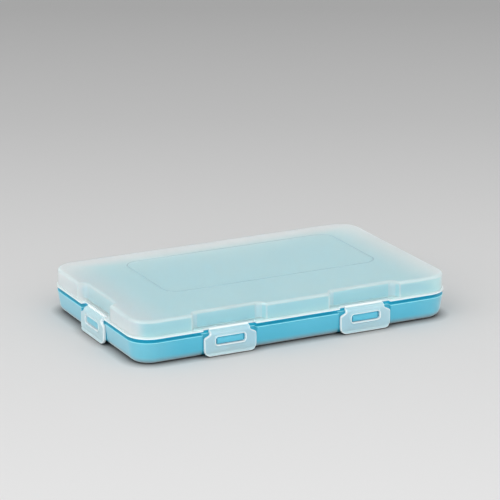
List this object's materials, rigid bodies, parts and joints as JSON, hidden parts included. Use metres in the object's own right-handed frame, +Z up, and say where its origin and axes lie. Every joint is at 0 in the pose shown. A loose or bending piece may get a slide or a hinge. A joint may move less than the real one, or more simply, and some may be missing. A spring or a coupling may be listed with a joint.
{
  "type": "battery case",
  "caption": "Flat sealed battery case: a coloured tub with cradle trays for cells, a frosted lid on two pinned back hinges with a seal ring, and three hinged locking flaps that hook over tabs on the tub.",
  "frame": {"origin": "under the middle of the case, on the surface that it stands on", "axes": "+X along the long side to the right, +Y to the back where the hinges are, +Z up; the front with its two flaps faces -Y"},
  "size_m": [0.194, 0.1245, 0.0251],
  "materials": {
    "tub_plastic": "translucent cyan polypropylene, satin",
    "tray_plastic": "pale cyan polypropylene, satin",
    "lid_plastic": "frosted milky polypropylene with a faint blue cast",
    "flap_plastic": "frosted clear polypropylene",
    "hinge_film": "thin frosted polypropylene film",
    "seal_silicone": "soft translucent silicone",
    "pin_steel": "plain drawn stainless steel wire"
  },
  "bodies": {
    "tub": {"base_shell": "tub_plastic", "cell_tray_front": "tray_plastic", "cell_tray_back": "tray_plastic", "hinge_pin_left": "pin_steel", "hinge_pin_right": "pin_steel"},
    "lid": {"lid_shell": "lid_plastic", "seal_ring": "seal_silicone"},
    "flap_front_left": {"latch_front_left": "flap_plastic", "latch_hinge_front_left": "hinge_film"},
    "flap_front_right": {"latch_front_right": "flap_plastic", "latch_hinge_front_right": "hinge_film"},
    "flap_side_left": {"latch_side_left": "flap_plastic", "latch_hinge_side_left": "hinge_film"}
  },
  "joints": [
    {"name": "lid_swing", "type": "hinge", "parent": "tub", "child": "lid", "pos_m": [0, 0.06195, 0.0138], "axis": [-1, 0, 0], "range_deg": [0, 110]},
    {"name": "swing_front_left", "type": "hinge", "parent": "lid", "child": "flap_front_left", "pos_m": [-0.04135, -0.05685, 0.0151], "axis": [-1, 0, 0], "range_deg": [0, 115], "deforming": ["latch_hinge_front_left"]},
    {"name": "swing_front_right", "type": "hinge", "parent": "lid", "child": "flap_front_right", "pos_m": [0.04135, -0.05685, 0.0151], "axis": [-1, 0, 0], "range_deg": [0, 115], "deforming": ["latch_hinge_front_right"]},
    {"name": "swing_side_left", "type": "hinge", "parent": "lid", "child": "flap_side_left", "pos_m": [-0.09395, -0.0013, 0.0151], "axis": [0, 1, 0], "range_deg": [0, 115], "deforming": ["latch_hinge_side_left"]}
  ]
}
